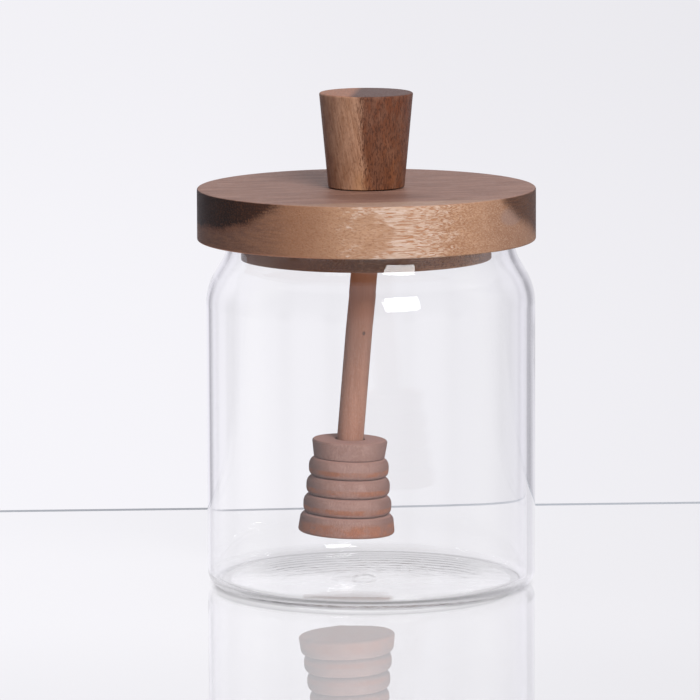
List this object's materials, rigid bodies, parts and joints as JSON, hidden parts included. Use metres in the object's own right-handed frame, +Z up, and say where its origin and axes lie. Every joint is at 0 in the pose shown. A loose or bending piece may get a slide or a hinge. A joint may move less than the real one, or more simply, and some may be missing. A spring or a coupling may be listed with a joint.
{
  "type": "honey pot with dipper",
  "caption": "Empty clear glass honey jar with a turned wooden lid, a tapered knob on it, and a ribbed wooden honey dipper fixed under the lid.",
  "frame": {"origin": "on the table, under the middle of the lid", "axes": "+Z up along the lid's axis, -Y towards the viewer, and the dipper's upper end leans to +X"},
  "size_m": [0.1028, 0.1028, 0.1504],
  "materials": {
    "jar_glass": "clear gloss",
    "lid_wood": "sanded and lightly oiled acacia",
    "knob_wood": "sanded and lightly oiled acacia",
    "stick_wood": "bare sanded dowel",
    "head_wood": "bare turned wood"
  },
  "bodies": {
    "root": {"glass_jar": "jar_glass", "lid": "lid_wood", "knob": "knob_wood", "dipper_stick": "stick_wood", "dipper_head": "head_wood"}
  },
  "joints": []
}
